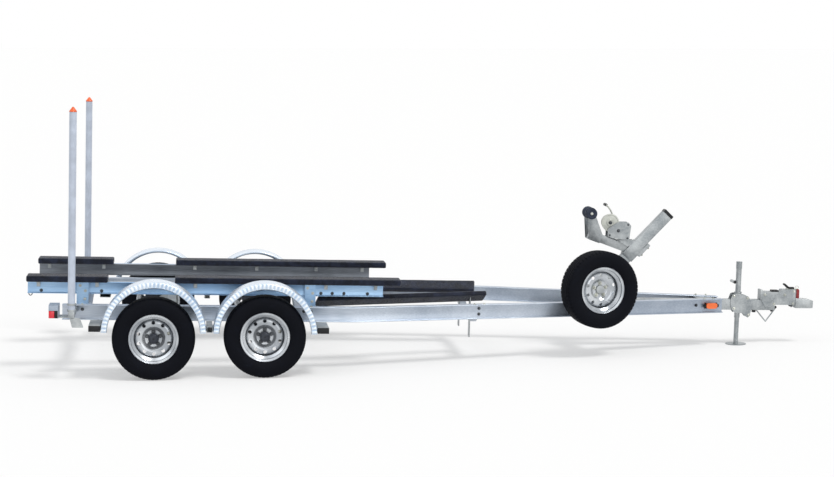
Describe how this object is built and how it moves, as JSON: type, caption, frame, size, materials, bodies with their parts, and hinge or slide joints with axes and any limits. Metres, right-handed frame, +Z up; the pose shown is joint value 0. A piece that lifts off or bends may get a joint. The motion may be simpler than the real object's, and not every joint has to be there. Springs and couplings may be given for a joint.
{
  "type": "boat trailer",
  "caption": "Tandem axle boat trailer with an aluminium beam frame, carpeted bunks, half round fenders, guide posts, winch stand, spare wheel and jack.",
  "frame": {"origin": "on the ground, on the centreline, halfway along the trailer", "axes": "+X forward to the coupler, +Y to the left, +Z up"},
  "size_m": [7.1281, 2.59, 2.264],
  "materials": {
    "tyre_rubber": "matt",
    "galvanised_wheel": "galvanised",
    "bright_hub": "zinc coated",
    "fender_aluminium": "rolled, bright",
    "mill_aluminium": "mill finish",
    "bunk_carpet": "marine carpet",
    "black_plastic": "moulded",
    "black_rubber": "moulded",
    "grey_pipe": "extruded",
    "orange_plastic": "moulded",
    "red_lens": "moulded lens",
    "amber_lens": "moulded lens",
    "zinc_plate": "zinc plated",
    "galvanised_steel": "hot dip galvanised"
  },
  "bodies": {
    "chassis": {"axle_front": "galvanised_steel", "axle_rear": "galvanised_steel", "ball_coupler": "galvanised_steel", "beam_left": "mill_aluminium", "beam_right": "mill_aluminium", "black_caps": "black_plastic", "bow_bracket": "galvanised_steel", "brake_calipers": "zinc_plate", "bunk_rails": "mill_aluminium", "bunks_low": "bunk_carpet", "bunks_upper": "bunk_carpet", "chain_keeper": "galvanised_steel", "coupler_latch": "zinc_plate", "cross_member_bow": "mill_aluminium", "cross_member_front": "mill_aluminium", "cross_member_rear": "mill_aluminium", "fender_brackets": "galvanised_steel", "fender_front_left": "fender_aluminium", "fender_front_right": "fender_aluminium", "fender_outriggers": "galvanised_steel", "fender_rear_left": "fender_aluminium", "fender_rear_right": "fender_aluminium", "guide_post_caps": "orange_plastic", "guide_posts": "grey_pipe", "jack_bracket": "galvanised_steel", "jack_handle": "galvanised_steel", "jack_tube": "galvanised_steel", "low_bunk_legs": "galvanised_steel", "marker_lamps": "amber_lens", "rail_brackets": "galvanised_steel", "rear_arms": "galvanised_steel", "spare_carrier": "galvanised_steel", "spare_tyre": "tyre_rubber", "spare_wheel": "galvanised_wheel", "surge_case": "galvanised_steel", "tail_lamp_housings": "black_plastic", "tail_lamp_lenses": "red_lens", "tongue_plates": "galvanised_steel", "tongue_tube": "galvanised_steel", "winch_arm": "galvanised_steel", "winch_clamp": "galvanised_steel", "winch_frame": "zinc_plate", "winch_stand": "galvanised_steel"},
    "bow_roller": {"bow_roller": "black_rubber"},
    "road_wheel_front_left": {"hub_front_left": "bright_hub", "tyre_front_left": "tyre_rubber", "wheel_front_left": "galvanised_wheel"},
    "road_wheel_front_right": {"hub_front_right": "bright_hub", "tyre_front_right": "tyre_rubber", "wheel_front_right": "galvanised_wheel"},
    "road_wheel_rear_left": {"hub_rear_left": "bright_hub", "tyre_rear_left": "tyre_rubber", "wheel_rear_left": "galvanised_wheel"},
    "road_wheel_rear_right": {"hub_rear_right": "bright_hub", "tyre_rear_right": "tyre_rubber", "wheel_rear_right": "galvanised_wheel"},
    "jack_leg": {"jack_leg": "galvanised_steel"},
    "winch_crank": {"winch_crank": "zinc_plate"},
    "winch_drum": {"winch_drum": "zinc_plate"}
  },
  "joints": [
    {"name": "spin_front_left", "type": "hinge", "parent": "chassis", "child": "road_wheel_front_left", "pos_m": [-1.5675, 1.17, 0.344], "axis": [0, 1, 0], "continuous": true},
    {"name": "spin_front_right", "type": "hinge", "parent": "chassis", "child": "road_wheel_front_right", "pos_m": [-1.5675, -1.17, 0.344], "axis": [0, 1, 0], "continuous": true},
    {"name": "spin_rear_left", "type": "hinge", "parent": "chassis", "child": "road_wheel_rear_left", "pos_m": [-2.4875, 1.17, 0.344], "axis": [0, 1, 0], "continuous": true},
    {"name": "spin_rear_right", "type": "hinge", "parent": "chassis", "child": "road_wheel_rear_right", "pos_m": [-2.4875, -1.17, 0.344], "axis": [0, 1, 0], "continuous": true},
    {"name": "jack_extend", "type": "slide", "parent": "chassis", "child": "jack_leg", "axis": [-0.027, 0, -0.9996], "range_m": [-0.18, 0.1]},
    {"name": "roller_spin", "type": "hinge", "parent": "chassis", "child": "bow_roller", "pos_m": [1.44291, 0, 1.23645], "axis": [0, 1, 0], "continuous": true},
    {"name": "drum_spin", "type": "hinge", "parent": "chassis", "child": "winch_drum", "pos_m": [1.62957, 0, 1.14737], "axis": [0, 1, 0], "continuous": true},
    {"name": "crank_spin", "type": "hinge", "parent": "chassis", "child": "winch_crank", "pos_m": [1.703, 0, 1.07348], "axis": [0, 1, 0], "continuous": true}
  ]
}
